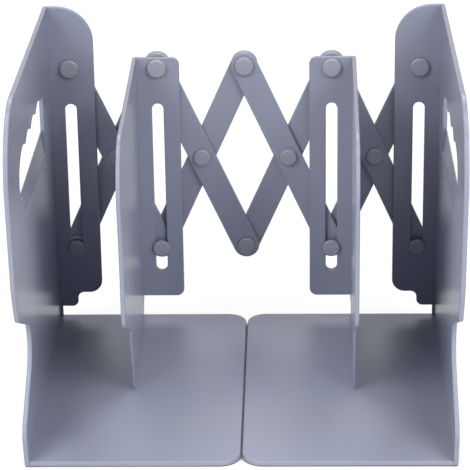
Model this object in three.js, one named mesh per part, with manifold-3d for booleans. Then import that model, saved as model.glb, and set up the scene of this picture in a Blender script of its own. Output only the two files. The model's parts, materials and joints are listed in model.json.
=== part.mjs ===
// Expandable bookend, drawn closed. Two L-shaped end brackets and two upright dividers hang on a
// four-cell scissor of flat links, which lies behind their back flanges and is held by snap rivets.
// Millimetres, +X to the right, +Y to the back, +Z up. The origin is on the floor, in the middle of
// the closed bookend's box.
import * as THREE from 'three';
import { mergeVertices } from 'three/addons/utils/BufferGeometryUtils.js';
import Module from 'manifold-3d';

// Clearances and helpers
const layerGap = 0.3;             // between faces that slide on each other
const pivotClearance = 0.3;       // round a rivet in a link's hole
const slotClearance = 0.35;       // each side of a rivet in a slot
const seamGap = 0.7;              // between the two base plates when closed
const floorClearance = 0.8;       // under a divider's leg, above the base plate
const overrun = 5;                // how far a cutter runs past what it cuts
const weldDistance = 0.0001;      // vertices closer than this are one vertex

// Scissor
const closedPitch = 43.05;        // from one pivot to the next along the closed scissor
const linkSpan = 105;             // between the end holes of a link
const linkWidth = 13;
const linkThickness = 2.4;
const cellCount = 4;
const lowerPivotHeight = 40.6;    // above the floor, closed
const slotTopDrop = 21.5;         // from an upper pivot down to the centre of the slot's top end

// Snap rivets
const sleeveDiameter = 5;
const postDiameter = 2.6;
const wideHeadDiameter = 9.4;     // on the brackets' and dividers' upper pivots, and between them
const headDiameter = 8.6;         // on the crossings and the lower pins
const headThickness = 2;
const headChamfer = 0.9;
const boreFloor = 1;              // closed end of the socket's bore
const postEndGap = 0.4;
const spacerDiameter = 9;

// End brackets
const baseDepth = 160;
const baseThickness = 2.5;
const baseCornerRadius = 9.5;
const panelWall = 2.2;
const bracketPivotInset = 9.7;    // from the panel's inner face to the pivots
const topRiseShare = 0.036;       // the panel's top edge rises this much for each millimetre forward
const crownOverhang = 23.6;       // how far the top front corner stands out past the base plate
const crownRadius = 32;
const kneeOverhang = 15.5;
const kneeLift = 16.5;            // above the nose
const kneeRadius = 28;
const noseOverhang = 8;
const noseLift = 27;              // above the waist
const noseRadius = 7;
const waistInset = 47;            // behind the base plate's front edge
const waistHeight = 48.5;
const waistRadius = 13.4;
const toeOverhang = 4.7;
const toeHeight = 18.9;
const toeRadius = 8;

// Handle cut-out of an end panel, with finger scallops along its top
const gripRear = 35.5;            // from the back edge to the cut-out
const gripLength = 105.5;
const gripHeight = 21.5;          // to the top of a scallop
const strapHeight = 31.3;         // from a scallop up to the panel's top edge
const gripCornerRadius = 5;
const scallopPitch = 21.7;
const scallopDepth = 2.9;
const scallopCount = 4;
const gripNoseLength = 29.1;      // the last scallop, which runs into the round front end
const gripBevelDrop = 12.3;       // how far below the cut-out the bevel starts on the inner face
const gripBevelStep = 0.7;        // depth of the bevel's gentle lower half
const gripBevelRadius = 8;
const noseRiseShares = [0.29, 0.26, 0.94, 1.0, 0.47];
const noseFallShares = [0.17, 0.67, 0.85];

// Back flanges
const flangeWall = 2.4;
const bracketFlangeCap = 31.5;    // above the upper pivot
const bracketFlangeReach = 12.2;  // from the pivots to the free edge
const bracketFlangeTail = 24.9;   // below the lower pivot
const flangeCrownRadius = 18;
const flangeTailRadius = 6.5;
const lobeWidth = 9.4;            // the step at the flange's foot
const lobeLift = 5.4;             // above the base plate
const lobeRadius = 3.2;
const lipWidth = 1.3;             // the rib that runs on down to the base plate
const bracketSlotTail = 1.25;     // the slot's lower end centre, below the closed pin

// Dividers
const dividerWall = 2;
const legWall = 1.5;
const dividerPivotInset = 9.95;
const dividerFlangeReach = 11.05;
const dividerFlangeCap = 5.2;
const dividerFlangeTail = 26.9;
const dividerFlangeRadius = 3.8;
const dividerSlotTail = 9.8;
const dividerToeIn = THREE.MathUtils.degToRad(0.64);
const dividerRiseShare = 0.0455;  // slope of its top edge
const dividerReach = 152.9;       // from the back edge to the top front corner
const dividerCrownRadius = 28;
const dividerKneeSetback = 10.1;  // behind the top front corner, as are the next three
const dividerNoseSetback = 10.9;
const legRootSetback = 48.5;
const legTipSetback = 64.9;
const dividerKneeLift = 35;       // above the nose
const dividerKneeRadius = 24;
const dividerNoseHeight = 61;
const dividerNoseRadius = 7;
const legRootHeight = 41.6;
const legRootRadius = 5;
const legTipRadius = 2;

// Finish
const colours = { bracket: 0x9297ad, divider: 0x9297ad, link: 0x858899, rivet: 0x999da8 };
const roughness = 0.42;
const arcSteps = 4;               // half the number of straight steps in a rounded corner
const lathSteps = 20;

// Places that follow from the sizes
const scissorHeight = Math.sqrt(linkSpan ** 2 - closedPitch ** 2);
const linkLean = Math.asin(closedPitch / linkSpan);
const upperPivotHeight = lowerPivotHeight + scissorHeight;
const panelBackHeight = upperPivotHeight + bracketFlangeCap;
const slotWidth = sleeveDiameter + 2 * slotClearance;
const slotTopHeight = upperPivotHeight - slotTopDrop;
const bracketInner = (cellCount / 2) * closedPitch + bracketPivotInset;
const dividerInner = (cellCount / 4) * closedPitch + dividerPivotInset;
const dividerBottom = baseThickness + floorClearance;

const bracketCorners = [
  [0, 0, 0],
  [0, panelBackHeight, 0],
  [baseDepth + crownOverhang, topEdgeAt(baseDepth + crownOverhang), crownRadius],
  [baseDepth + kneeOverhang, waistHeight + noseLift + kneeLift, kneeRadius],
  [baseDepth + noseOverhang, waistHeight + noseLift, noseRadius],
  [baseDepth - waistInset, waistHeight, waistRadius],
  [baseDepth + toeOverhang, toeHeight, toeRadius],
  [baseDepth, 0, 0],
];

// Layers of the scissor, counted back from the flanges' back faces, which all lie in one plane
const frontLinkOffset = layerGap;
const frontLinkBack = frontLinkOffset + linkThickness;
const rearLinkOffset = frontLinkBack + layerGap;
const rearLinkBack = rearLinkOffset + linkThickness;
const rearmost = rearLinkBack + layerGap + headThickness;
const foremost = Math.max(...roundedOutline(bracketCorners).getPoints(arcSteps).map((p) => p.x));
const backPlane = (foremost - rearmost) / 2;

const wasm = await Module();
wasm.setup();

// Height of an end panel's top edge, some way forward of the back plane
function topEdgeAt(forward) {
  return panelBackHeight + topRiseShare * forward;
}

// How much of the side between two corners one of them may round away
function radiusShare(own, other) {
  return own === 0 ? 0 : own / (own + other);
}

// Straight sides between corners [across, up, radius], each corner rounded by an arc
function roundedOutline(corners) {
  const shape = new THREE.Shape();
  const points = corners.map(([across, up]) => new THREE.Vector2(across, up));
  corners.forEach((corner, i) => {
    const here = points[i];
    const last = (i + points.length - 1) % points.length;
    const next = (i + 1) % points.length;
    const before = points[last].clone().sub(here);
    const after = points[next].clone().sub(here);
    const halfAngle = Math.acos(before.clone().normalize().dot(after.clone().normalize())) / 2;
    const roomBefore = before.length() * radiusShare(corner[2], corners[last][2]);
    const roomAfter = after.length() * radiusShare(corner[2], corners[next][2]);
    const radius = Math.min(corner[2], Math.min(roomBefore, roomAfter) * Math.tan(halfAngle));
    const trim = radius / Math.tan(halfAngle);
    const start = here.clone().addScaledVector(before.normalize(), trim);
    const end = here.clone().addScaledVector(after.normalize(), trim);
    if (i === 0) shape.moveTo(start.x, start.y);
    else shape.lineTo(start.x, start.y);
    if (radius === 0) return;
    const inward = before.clone().add(after).normalize();
    const centre = here.clone().addScaledVector(inward, radius / Math.sin(halfAngle));
    const from = start.sub(centre).angle();
    const to = end.sub(centre).angle();
    shape.absarc(centre.x, centre.y, radius, from, to, before.cross(after) > 0);
  });
  shape.closePath();
  return shape;
}

// A slot with round ends, between two centre heights
function slotHole(across, low, high, width) {
  const hole = new THREE.Path();
  hole.absarc(across, high, width / 2, 0, Math.PI, false);
  hole.absarc(across, low, width / 2, Math.PI, 2 * Math.PI, false);
  hole.closePath();
  return hole;
}

// A round hole that a rivet's sleeve turns in
function pivotHole(across, up) {
  const hole = new THREE.Path();
  hole.absarc(across, up, sleeveDiameter / 2 + pivotClearance, 0, 2 * Math.PI, false);
  return hole;
}

// Drawing planes: a side view (forward, up) that grows to the left, a back view (right, up) that
// grows forward, and a plan (right, back) that grows up
const sideView = new THREE.Matrix4().makeBasis(
  new THREE.Vector3(0, -1, 0), new THREE.Vector3(0, 0, 1), new THREE.Vector3(-1, 0, 0));
const backView = new THREE.Matrix4().makeBasis(
  new THREE.Vector3(1, 0, 0), new THREE.Vector3(0, 0, 1), new THREE.Vector3(0, -1, 0));
const planView = new THREE.Matrix4();

function extruded(shape, depth, view, place) {
  const options = { depth, bevelEnabled: false, curveSegments: arcSteps };
  const geometry = new THREE.ExtrudeGeometry(shape, options);
  return geometry.applyMatrix4(view).translate(place.x, place.y, place.z);
}

function box(low, high) {
  const size = high.clone().sub(low);
  const middle = low.clone().add(high).divideScalar(2);
  const geometry = new THREE.BoxGeometry(size.x, size.y, size.z);
  return geometry.translate(middle.x, middle.y, middle.z);
}

// Welds a closed geometry's shared corners and makes it a solid that can be joined and cut
function solidOf(geometry) {
  const bare = geometry.clone();
  bare.deleteAttribute('normal');
  bare.deleteAttribute('uv');
  const welded = mergeVertices(bare, weldDistance);
  const source = welded.index.array;
  const triangles = [];
  for (let i = 0; i < source.length; i += 3) {
    const [a, b, c] = [source[i], source[i + 1], source[i + 2]];
    if (a !== b && b !== c && c !== a) triangles.push(a, b, c);
  }
  const vertProperties = new Float32Array(welded.attributes.position.array);
  const triVerts = new Uint32Array(triangles);
  return new wasm.Manifold(new wasm.Mesh({ numProp: 3, vertProperties, triVerts }));
}

function geometryOf(solid) {
  const mesh = solid.getMesh();
  const geometry = new THREE.BufferGeometry();
  geometry.setAttribute('position', new THREE.BufferAttribute(mesh.vertProperties, 3));
  geometry.setIndex(new THREE.BufferAttribute(mesh.triVerts, 1));
  geometry.computeVertexNormals();
  return geometry;
}

// A mirror image across the middle plane, with each triangle turned to face outward again
function mirrored(geometry) {
  const copy = geometry.clone().scale(-1, 1, 1);
  const corners = copy.index.array;
  for (let i = 0; i < corners.length; i += 3) {
    const first = corners[i];
    corners[i] = corners[i + 1];
    corners[i + 1] = first;
  }
  copy.computeVertexNormals();
  return copy;
}

// The through part of the handle cut-out, drawn in the side view. Its floor and its scallops
// follow the slope of the panel's top edge.
function gripOutline() {
  const at = (u, v) => [gripRear + u, gripFloorAt(gripRear + u) + v];
  const low = gripHeight - scallopDepth;
  const noseStart = gripLength - gripNoseLength;
  const firstScallop = noseStart - (scallopCount - 1) * scallopPitch;
  const [peak, bulge, turn, rise, front] = noseRiseShares;
  const [frontFall, floorStart, floorEnd] = noseFallShares;
  const shape = new THREE.Shape();
  shape.moveTo(...at(0, 0));
  shape.lineTo(...at(0, low - gripCornerRadius));
  shape.quadraticCurveTo(...at(0, low), ...at(gripCornerRadius, low));
  shape.lineTo(...at(firstScallop, low));
  for (let i = 0; i < scallopCount - 1; i += 1) {
    const start = firstScallop + i * scallopPitch;
    const crest = at(start + scallopPitch / 2, low + 2 * scallopDepth);
    shape.quadraticCurveTo(...crest, ...at(start + scallopPitch, low));
  }
  const leaving = at(noseStart + bulge * gripNoseLength, low + 2 * scallopDepth * (1 - peak / 4));
  const turning = at(noseStart + turn * gripNoseLength, rise * gripHeight);
  shape.bezierCurveTo(...leaving, ...turning, ...at(gripLength, front * gripHeight));
  const falling = at(gripLength, frontFall * gripHeight);
  const landing = at(noseStart + floorEnd * gripNoseLength, 0);
  shape.bezierCurveTo(...falling, ...landing, ...at(noseStart + floorStart * gripNoseLength, 0));
  shape.closePath();
  return shape;
}

function gripFloorAt(forward) {
  return topEdgeAt(forward) - strapHeight - gripHeight;
}

// The bevel that eases the cut-out's lower edge towards the inner face: gentle, then steeper
function gripBevel(inner) {
  const outer = inner - panelWall;
  const section = new THREE.Shape();
  section.moveTo(outer, 0);
  section.lineTo(inner - gripBevelStep, -gripBevelDrop / 2);
  section.lineTo(inner, -gripBevelDrop);
  section.lineTo(inner + overrun, -gripBevelDrop);
  section.lineTo(inner + overrun, gripCornerRadius);
  section.lineTo(outer, gripCornerRadius);
  section.closePath();
  const rear = new THREE.Vector3(0, -gripRear, gripFloorAt(0));
  const wedge = extruded(section, gripLength, backView, rear);
  wedge.applyMatrix4(new THREE.Matrix4().makeShear(0, 0, 0, -topRiseShare, 0, 0));
  const reach = gripRear + gripLength - gripNoseLength * (1 - noseFallShares[1]);
  const foot = gripFloorAt(gripRear) - gripBevelDrop;
  const frontFoot = gripFloorAt(reach) - gripBevelDrop;
  const windowOutline = roundedOutline([
    [gripRear, foot - overrun, 0],
    [gripRear, gripFloorAt(gripRear) + gripCornerRadius, 0],
    [reach, gripFloorAt(reach) + gripCornerRadius, 0],
    [reach, frontFoot, gripBevelRadius],
    [reach - gripNoseLength, frontFoot - overrun, 0],
  ]);
  const windowPlace = new THREE.Vector3(inner + overrun, 0, 0);
  const opening = extruded(windowOutline, panelWall + 2 * overrun, sideView, windowPlace);
  return geometryOf(solidOf(wedge).intersect(solidOf(opening))).translate(0, backPlane, 0);
}

// Back flange of an end bracket, seen from the front: a round top, a stepped foot and a thin rib
// down to the base plate
function bracketFlangeOutline(inner, pivot) {
  const free = pivot + bracketFlangeReach;
  const tail = lowerPivotHeight - bracketFlangeTail;
  const root = inner - panelWall;
  const shape = roundedOutline([
    [root, 0, 0],
    [root, panelBackHeight, 0],
    [free, panelBackHeight, flangeCrownRadius],
    [free, tail, flangeTailRadius],
    [inner + lobeWidth, tail, lobeRadius],
    [inner + lobeWidth, baseThickness + lobeLift, lobeRadius],
    [inner + lipWidth, baseThickness + lobeLift, 0],
    [inner + lipWidth, 0, 0],
  ]);
  shape.holes.push(slotHole(pivot, lowerPivotHeight - bracketSlotTail, slotTopHeight, slotWidth));
  shape.holes.push(pivotHole(pivot, upperPivotHeight));
  return shape;
}

// One moulding: base plate, end panel with its handle cut-out, and back flange
function leftBracket() {
  const inner = -bracketInner;
  const pivot = inner + bracketPivotInset;
  const outer = inner - panelWall;
  const panelPlace = new THREE.Vector3(inner, backPlane, 0);
  const panel = extruded(roundedOutline(bracketCorners), panelWall, sideView, panelPlace);
  const baseOutline = roundedOutline([
    [outer, backPlane - baseDepth, 0],
    [-seamGap / 2, backPlane - baseDepth, baseCornerRadius],
    [-seamGap / 2, backPlane, baseCornerRadius],
    [outer, backPlane, 0],
  ]);
  const base = extruded(baseOutline, baseThickness, planView, new THREE.Vector3());
  const flangePlace = new THREE.Vector3(0, backPlane, 0);
  const flange = extruded(bracketFlangeOutline(inner, pivot), flangeWall, backView, flangePlace);
  const gripPlace = new THREE.Vector3(inner + overrun, backPlane, 0);
  const grip = extruded(gripOutline(), panelWall + 2 * overrun, sideView, gripPlace);
  const openPanel = solidOf(panel).subtract(solidOf(grip)).subtract(solidOf(gripBevel(inner)));
  return geometryOf(openPanel.add(solidOf(base)).add(solidOf(flange)));
}

function dividerFlangeOutline(inner, pivot) {
  const free = pivot + dividerFlangeReach;
  const root = inner - legWall / 2;
  const top = upperPivotHeight + dividerFlangeCap;
  const tail = lowerPivotHeight - dividerFlangeTail;
  const shape = roundedOutline([
    [root, tail, 0],
    [root, top, 0],
    [free, top, dividerFlangeRadius],
    [free, tail, dividerFlangeRadius],
  ]);
  shape.holes.push(slotHole(pivot, lowerPivotHeight - dividerSlotTail, slotTopHeight, slotWidth));
  shape.holes.push(pivotHole(pivot, upperPivotHeight));
  return shape;
}

// One moulding: a back flange and a wing-shaped panel whose lower leg is thinner and reaches down
// to just above the base plate. The panel turns a little towards the middle at the front.
function leftDivider() {
  const inner = -dividerInner;
  const pivot = inner + dividerPivotInset;
  const top = upperPivotHeight + dividerFlangeCap;
  const frontTop = top + dividerRiseShare * dividerReach;
  const outline = roundedOutline([
    [-overrun, dividerBottom, 0],
    [-overrun, top - dividerRiseShare * overrun, 0],
    [dividerReach, frontTop, dividerCrownRadius],
    [dividerReach - dividerKneeSetback, dividerNoseHeight + dividerKneeLift, dividerKneeRadius],
    [dividerReach - dividerNoseSetback, dividerNoseHeight, dividerNoseRadius],
    [dividerReach - legRootSetback, legRootHeight, legRootRadius],
    [dividerReach - legTipSetback, dividerBottom, legTipRadius],
  ]);
  const panel = extruded(outline, dividerWall, sideView, new THREE.Vector3());
  const thinning = box(
    new THREE.Vector3(-dividerWall - overrun, -dividerReach - overrun, -overrun),
    new THREE.Vector3(-legWall, 2 * overrun, legRootHeight));
  const blade = geometryOf(solidOf(panel).subtract(solidOf(thinning)));
  blade.rotateZ(dividerToeIn).translate(inner, backPlane, 0);
  const trimmer = box(
    new THREE.Vector3(inner - dividerWall - overrun, backPlane, -overrun),
    new THREE.Vector3(inner + overrun, backPlane + 3 * overrun, frontTop + overrun));
  const flangePlace = new THREE.Vector3(0, backPlane, 0);
  const flange = extruded(dividerFlangeOutline(inner, pivot), flangeWall, backView, flangePlace);
  return geometryOf(solidOf(blade).subtract(solidOf(trimmer)).add(solidOf(flange)));
}

// A flat link with round ends and three holes, upright, with its back face at zero
function linkGeometry() {
  const shape = new THREE.Shape();
  shape.absarc(0, linkSpan / 2, linkWidth / 2, 0, Math.PI, false);
  shape.absarc(0, -linkSpan / 2, linkWidth / 2, Math.PI, 2 * Math.PI, false);
  shape.closePath();
  for (const up of [-linkSpan / 2, 0, linkSpan / 2]) shape.holes.push(pivotHole(0, up));
  const options = { depth: linkThickness, bevelEnabled: false, curveSegments: 2 * arcSteps };
  return new THREE.ExtrudeGeometry(shape, options).applyMatrix4(backView);
}

function turned(profile) {
  const points = profile.map(([radius, back]) => new THREE.Vector2(radius, back));
  return geometryOf(solidOf(new THREE.LatheGeometry(points, lathSteps)));
}

// Front half of a rivet: a chamfered head whose back face is at zero, and a post
function postGeometry(diameter, boreDepth) {
  const head = diameter / 2;
  const tip = layerGap + boreDepth - postEndGap;
  return turned([
    [0, -headThickness],
    [head - headChamfer, -headThickness],
    [head, headChamfer - headThickness],
    [head, 0],
    [postDiameter / 2, 0],
    [postDiameter / 2, tip],
    [0, tip],
  ]);
}

// Rear half: a sleeve that starts at zero, open to the front, and a chamfered head behind it
function socketGeometry(diameter, sleeveLength, boreDepth) {
  const head = diameter / 2;
  const bore = postDiameter / 2 + pivotClearance;
  const end = sleeveLength + headThickness;
  return turned([
    [0, boreDepth],
    [bore, boreDepth],
    [bore, 0],
    [sleeveDiameter / 2, 0],
    [sleeveDiameter / 2, sleeveLength],
    [head, sleeveLength],
    [head, end - headChamfer],
    [head - headChamfer, end],
    [0, end],
  ]);
}

// A plain ring that fills the front link's layer where a rear link meets a flange
function spacerGeometry() {
  const bore = sleeveDiameter / 2 + pivotClearance;
  const rim = spacerDiameter / 2;
  return turned([
    [bore, 0],
    [rim, 0],
    [rim, linkThickness],
    [bore, linkThickness],
    [bore, 0],
  ]);
}

const group = new THREE.Group();

function addPiece(name, geometry, color, place = new THREE.Vector3(), lean = 0) {
  const material = new THREE.MeshStandardMaterial({ color, roughness, metalness: 0 });
  const mesh = new THREE.Mesh(geometry, material);
  mesh.name = name;
  mesh.position.copy(place);
  mesh.rotation.y = lean;
  group.add(mesh);
}

// A rivet through a stack of layers, from the face in front of it to the face behind it
function addRivet(name, across, up, diameter, frontFace, rearFace) {
  const sleeveLength = rearFace + layerGap - frontFace;
  const boreDepth = sleeveLength + headThickness - boreFloor;
  const post = postGeometry(diameter, boreDepth);
  const socket = socketGeometry(diameter, sleeveLength, boreDepth);
  const postPlace = new THREE.Vector3(across, backPlane + frontFace - layerGap, up);
  addPiece(`${name}_post`, post, colours.rivet, postPlace);
  addPiece(`${name}_socket`, socket, colours.rivet, postPlace.clone().setY(backPlane + frontFace));
}

const bracket = leftBracket();
addPiece('left_bracket', bracket, colours.bracket);
addPiece('right_bracket', mirrored(bracket), colours.bracket);
const divider = leftDivider();
addPiece('left_divider', divider, colours.divider);
addPiece('right_divider', mirrored(divider), colours.divider);

const middle = cellCount / 2;
for (let i = 0; i < cellCount; i += 1) {
  const across = (i + 0.5 - middle) * closedPitch;
  const up = lowerPivotHeight + scissorHeight / 2;
  const frontPlace = new THREE.Vector3(across, backPlane + frontLinkBack, up);
  const rearPlace = new THREE.Vector3(across, backPlane + rearLinkBack, up);
  addPiece(`front_link_${i + 1}`, linkGeometry(), colours.link, frontPlace, -linkLean);
  addPiece(`rear_link_${i + 1}`, linkGeometry(), colours.link, rearPlace, linkLean);
  addRivet(`cross_rivet_${i + 1}`, across, up, headDiameter, frontLinkOffset, rearLinkBack);
}

// The first upper pivot and the last lower pin carry only a front link. The middle ones carry two
// links and no flange.
for (let i = 0; i <= cellCount; i += 1) {
  const across = (i - middle) * closedPitch;
  const frontFace = i === middle ? frontLinkOffset : -flangeWall;
  const upperRear = i === 0 ? frontLinkBack : rearLinkBack;
  const lowerRear = i === cellCount ? frontLinkBack : rearLinkBack;
  const upper = `upper_rivet_${i + 1}`;
  const lower = `lower_rivet_${i + 1}`;
  addRivet(upper, across, upperPivotHeight, wideHeadDiameter, frontFace, upperRear);
  addRivet(lower, across, lowerPivotHeight, headDiameter, frontFace, lowerRear);
}

const spacerBack = backPlane + frontLinkOffset;
const endPivot = middle * closedPitch;
const lowerSpacerPlace = new THREE.Vector3(-endPivot, spacerBack, lowerPivotHeight);
const upperSpacerPlace = new THREE.Vector3(endPivot, spacerBack, upperPivotHeight);
addPiece('lower_left_spacer', spacerGeometry(), colours.rivet, lowerSpacerPlace);
addPiece('upper_right_spacer', spacerGeometry(), colours.rivet, upperSpacerPlace);

export default group;
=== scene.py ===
# %% [markdown]
# # An expandable bookend, dressed for its picture
# The bookend is moulded from blue-grey ABS: two L-shaped ends, two hanging dividers, eight flat
# links and fourteen snap rivets. The CAD model holds every piece at its real size, but its round
# parts are faceted and its edges are knife sharp. Real mouldings have small round edges, and the
# thin lines of light along them are what the eye reads as plastic. So each piece is made again here
# as a fine surface in the same place, and the CAD node stays behind it for the physics.

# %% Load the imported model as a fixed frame
import json
import math

import bmesh
import bpy
import numpy as np
from mathutils import Matrix, Vector
from mathutils.geometry import delaunay_2d_cdt


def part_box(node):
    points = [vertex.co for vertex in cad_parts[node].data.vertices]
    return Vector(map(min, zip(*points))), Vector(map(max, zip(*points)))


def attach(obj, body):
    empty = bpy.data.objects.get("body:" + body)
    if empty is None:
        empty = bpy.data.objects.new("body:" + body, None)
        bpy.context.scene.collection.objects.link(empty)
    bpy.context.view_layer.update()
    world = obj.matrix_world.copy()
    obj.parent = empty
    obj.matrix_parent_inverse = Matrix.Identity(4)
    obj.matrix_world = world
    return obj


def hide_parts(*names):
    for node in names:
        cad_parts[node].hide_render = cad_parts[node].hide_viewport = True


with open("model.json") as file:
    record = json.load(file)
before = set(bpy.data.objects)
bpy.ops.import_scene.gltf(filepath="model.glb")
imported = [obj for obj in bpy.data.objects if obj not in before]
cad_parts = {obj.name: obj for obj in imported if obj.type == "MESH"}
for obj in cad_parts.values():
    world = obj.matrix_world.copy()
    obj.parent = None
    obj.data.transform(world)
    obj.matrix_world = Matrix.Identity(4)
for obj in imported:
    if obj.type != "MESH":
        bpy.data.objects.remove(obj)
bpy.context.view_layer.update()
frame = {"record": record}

# %% [markdown]
# ## Sizes
# Blender works in metres, so every size is written in millimetres times MM. The pivots, the back
# plane and the outer faces are read from the CAD boxes. The other sizes repeat the CAD model's,
# because a box doesn't tell them.

# %% Places from the frame
MM = 0.001


def middle_of(node):
    """The centre of a CAD node's box, halfway between its lowest and highest corner."""
    low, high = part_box(node)
    return (low + high) / 2


CELLS = 4
upper_pins = [middle_of(f"upper_rivet_{i + 1}_post") for i in range(CELLS + 1)]
lower_pins = [middle_of(f"lower_rivet_{i + 1}_post") for i in range(CELLS + 1)]
crossings = [middle_of(f"cross_rivet_{i + 1}_post") for i in range(CELLS)]
UPPER_Z, LOWER_Z = upper_pins[0].z, lower_pins[0].z
BACK_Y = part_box("left_bracket")[1].y
OUTER_X = -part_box("left_bracket")[0].x
PITCH = upper_pins[1].x - upper_pins[0].x
print("pitch in mm:", round(PITCH / MM, 2), "upper and lower pins:", UPPER_Z / MM, LOWER_Z / MM)

# %% Walls and gaps
EDGE = 0.7 * MM                    # radius of the round edges of brackets and dividers
BACK_ROUND = 1.8 * MM              # radius of their upright corner behind
BASE_DEPTH, BASE_THICK = 160 * MM, 2.5 * MM
PANEL_WALL, FLANGE_WALL = 2.2 * MM, 2.4 * MM
INNER_X = OUTER_X - PANEL_WALL
CAP_Z = UPPER_Z + 31.5 * MM        # top of an end panel at the back

SLIDE_GAP = 0.35 * MM              # each side of a rivet in a slot
PIVOT_GAP = 0.3 * MM               # round a rivet in a hole
SLEEVE = 5 * MM                    # diameter of a rivet's sleeve
SLOT_WIDTH = SLEEVE + 2 * SLIDE_GAP
HOLE_RADIUS = SLEEVE / 2 + PIVOT_GAP
SLOT_TOP_Z = UPPER_Z - 21.5 * MM
OVERRUN = 5 * MM                   # how far a cutter runs past what it cuts
print("slots and holes in mm:", round(SLOT_WIDTH / MM, 2), round(2 * HOLE_RADIUS / MM, 2))

# %% [markdown]
# ## Outlines
# Every flat piece starts as an outline with rounded corners. Blender's curves could draw one, but
# an array of points is easier to turn, to mirror and to fill round its holes. The helper takes
# corners with their radii, and puts an arc where each corner was. Fine steps keep the silhouette
# round up close.

# %% Points of a circle, and which way round an outline runs
ARC_STEP = math.radians(4)


def round_points(angles):
    """Points of the unit circle at these angles."""
    return np.column_stack([np.cos(angles), np.sin(angles)])


def facing(points):
    """The outline counter-clockwise: its signed area, half the sum of cross products of
    neighbouring points, is made positive."""
    after = np.roll(points, -1, axis=0)
    area = (points[:, 0] * after[:, 1] - points[:, 1] * after[:, 0]).sum() / 2
    return points if area > 0 else points[::-1]


print("steps in a full circle:", round(math.tau / ARC_STEP))

# %% Outline with rounded corners
TINY = 1e-9                        # keeps a division by zero out


def rounded_outline(corners):
    """Points of a closed outline from corners (across, up, radius), counter-clockwise.

    A corner whose sides meet at twice the angle h gets an arc that starts radius / tan(h) along
    each side, and whose centre lies radius / sin(h) along the bisector."""
    spots = np.array([corner[:2] for corner in corners], float)
    radii = np.array([corner[2] for corner in corners], float)
    back = np.roll(spots, 1, axis=0) - spots
    ahead = np.roll(spots, -1, axis=0) - spots
    back_length = np.linalg.norm(back, axis=1)
    ahead_length = np.linalg.norm(ahead, axis=1)
    back /= back_length[:, None]
    ahead /= ahead_length[:, None]
    half = np.arccos(np.clip((back * ahead).sum(1), -1, 1)) / 2
    back_share = radii / np.maximum(radii + np.roll(radii, 1), TINY)
    ahead_share = radii / np.maximum(radii + np.roll(radii, -1), TINY)
    room = np.minimum(back_length * back_share, ahead_length * ahead_share)
    radii = np.minimum(radii, room * np.tan(half))
    bisector = back + ahead
    bisector /= np.linalg.norm(bisector, axis=1)[:, None]
    centres = spots + bisector * (radii / np.sin(half))[:, None]
    starts = spots + back * (radii / np.tan(half))[:, None] - centres
    ends = spots + ahead * (radii / np.tan(half))[:, None] - centres
    runs = []
    for spot, centre, radius, start, end in zip(spots, centres, radii, starts, ends):
        if radius == 0:
            runs.append(spot[None])
            continue
        first = math.atan2(start[1], start[0])
        turn = math.remainder(math.atan2(end[1], end[0]) - first, math.tau)
        steps = max(2, math.ceil(abs(turn) / ARC_STEP))
        runs.append(centre + radius * round_points(first + turn * np.linspace(0, 1, steps + 1)))
    return facing(np.concatenate(runs))


sample = rounded_outline([(0, 0, 0), (1, 0, 0), (1, 1, 0.5), (0, 1, 0)])
print("a square with one round corner has", len(sample), "points")

# %% Circles, slots and curves
def circle(across, up, radius):
    """A circle in steps of ARC_STEP."""
    count = round(math.tau / ARC_STEP)
    angles = np.linspace(0, math.tau, count, endpoint=False)
    return np.array([across, up]) + radius * round_points(angles)


def slot(across, low, high, width):
    """A slot: a half circle over its upper centre and one under its lower centre."""
    half_turn = np.linspace(0, math.pi, round(math.pi / ARC_STEP) + 1)
    over = np.array([across, high]) + width / 2 * round_points(half_turn)
    under = np.array([across, low]) + width / 2 * round_points(half_turn + math.pi)
    return np.concatenate([over, under])


def bezier(points, count=24):
    """A Bezier curve of two or three spans' control points, without its last point: each point is
    weighted by its Bernstein polynomial."""
    t = np.linspace(0, 1, count, endpoint=False)[:, None]
    degree = len(points) - 1
    terms = [math.comb(degree, k) * t**k * (1 - t) ** (degree - k) for k in range(degree + 1)]
    return sum(term * np.array(point) for term, point in zip(terms, points))


print("a slot's outline has", len(slot(0, 0, SLEEVE, SLOT_WIDTH)), "points")

# %% [markdown]
# ## From an outline to a solid
# A plate is its outline at two heights, with walls of quads between them. The two flat faces are
# filled by a constrained Delaunay triangulation that knows about holes and merges what it can into
# large faces, which the Bevel modifier likes. Plates are joined and cut with exact booleans, so
# that each end and each divider is one closed skin, as the real moulding is.

# %% Objects and their modifiers
def add_object(name, data):
    """An object at the origin that shows a mesh, a lamp or a camera."""
    made = bpy.data.objects.new(name, data)
    bpy.context.scene.collection.objects.link(made)
    return made


def new_object(name, points, faces):
    """A mesh object at the origin, with its place in its points."""
    mesh = bpy.data.meshes.new(name)
    mesh.from_pydata(points.tolist(), [], faces)
    mesh.validate()
    return add_object(name, mesh)


def settle(piece):
    """Applies the piece's modifiers."""
    graph = bpy.context.evaluated_depsgraph_get()
    mesh = bpy.data.meshes.new_from_object(piece.evaluated_get(graph))
    piece.modifiers.clear()
    old, piece.data = piece.data, mesh
    bpy.data.meshes.remove(old)


def combine(body, tool, operation):
    """Joins the tool to the body (UNION) or cuts it away (DIFFERENCE), and drops the tool."""
    boolean = body.modifiers.new("boolean", "BOOLEAN")
    boolean.operation, boolean.solver, boolean.object = operation, "EXACT", tool
    settle(body)
    bpy.data.objects.remove(tool)


# %% Plates
# Drawing planes: what an outline's across, up and thickness mean in the object's frame
SIDE_VIEW = Matrix(((0, 0, -1), (-1, 0, 0), (0, 1, 0)))      # forward, up; grows to the left
BACK_VIEW = Matrix(((1, 0, 0), (0, 0, -1), (0, 1, 0)))       # right, up; grows forward
PLAN_VIEW = Matrix.Identity(3)                               # right, back; grows up
LARGE_FACES = 5                    # the filling's kind: large faces, with the holes left out
SAME_SPOT = 1e-7                   # points nearer than this are one


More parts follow.
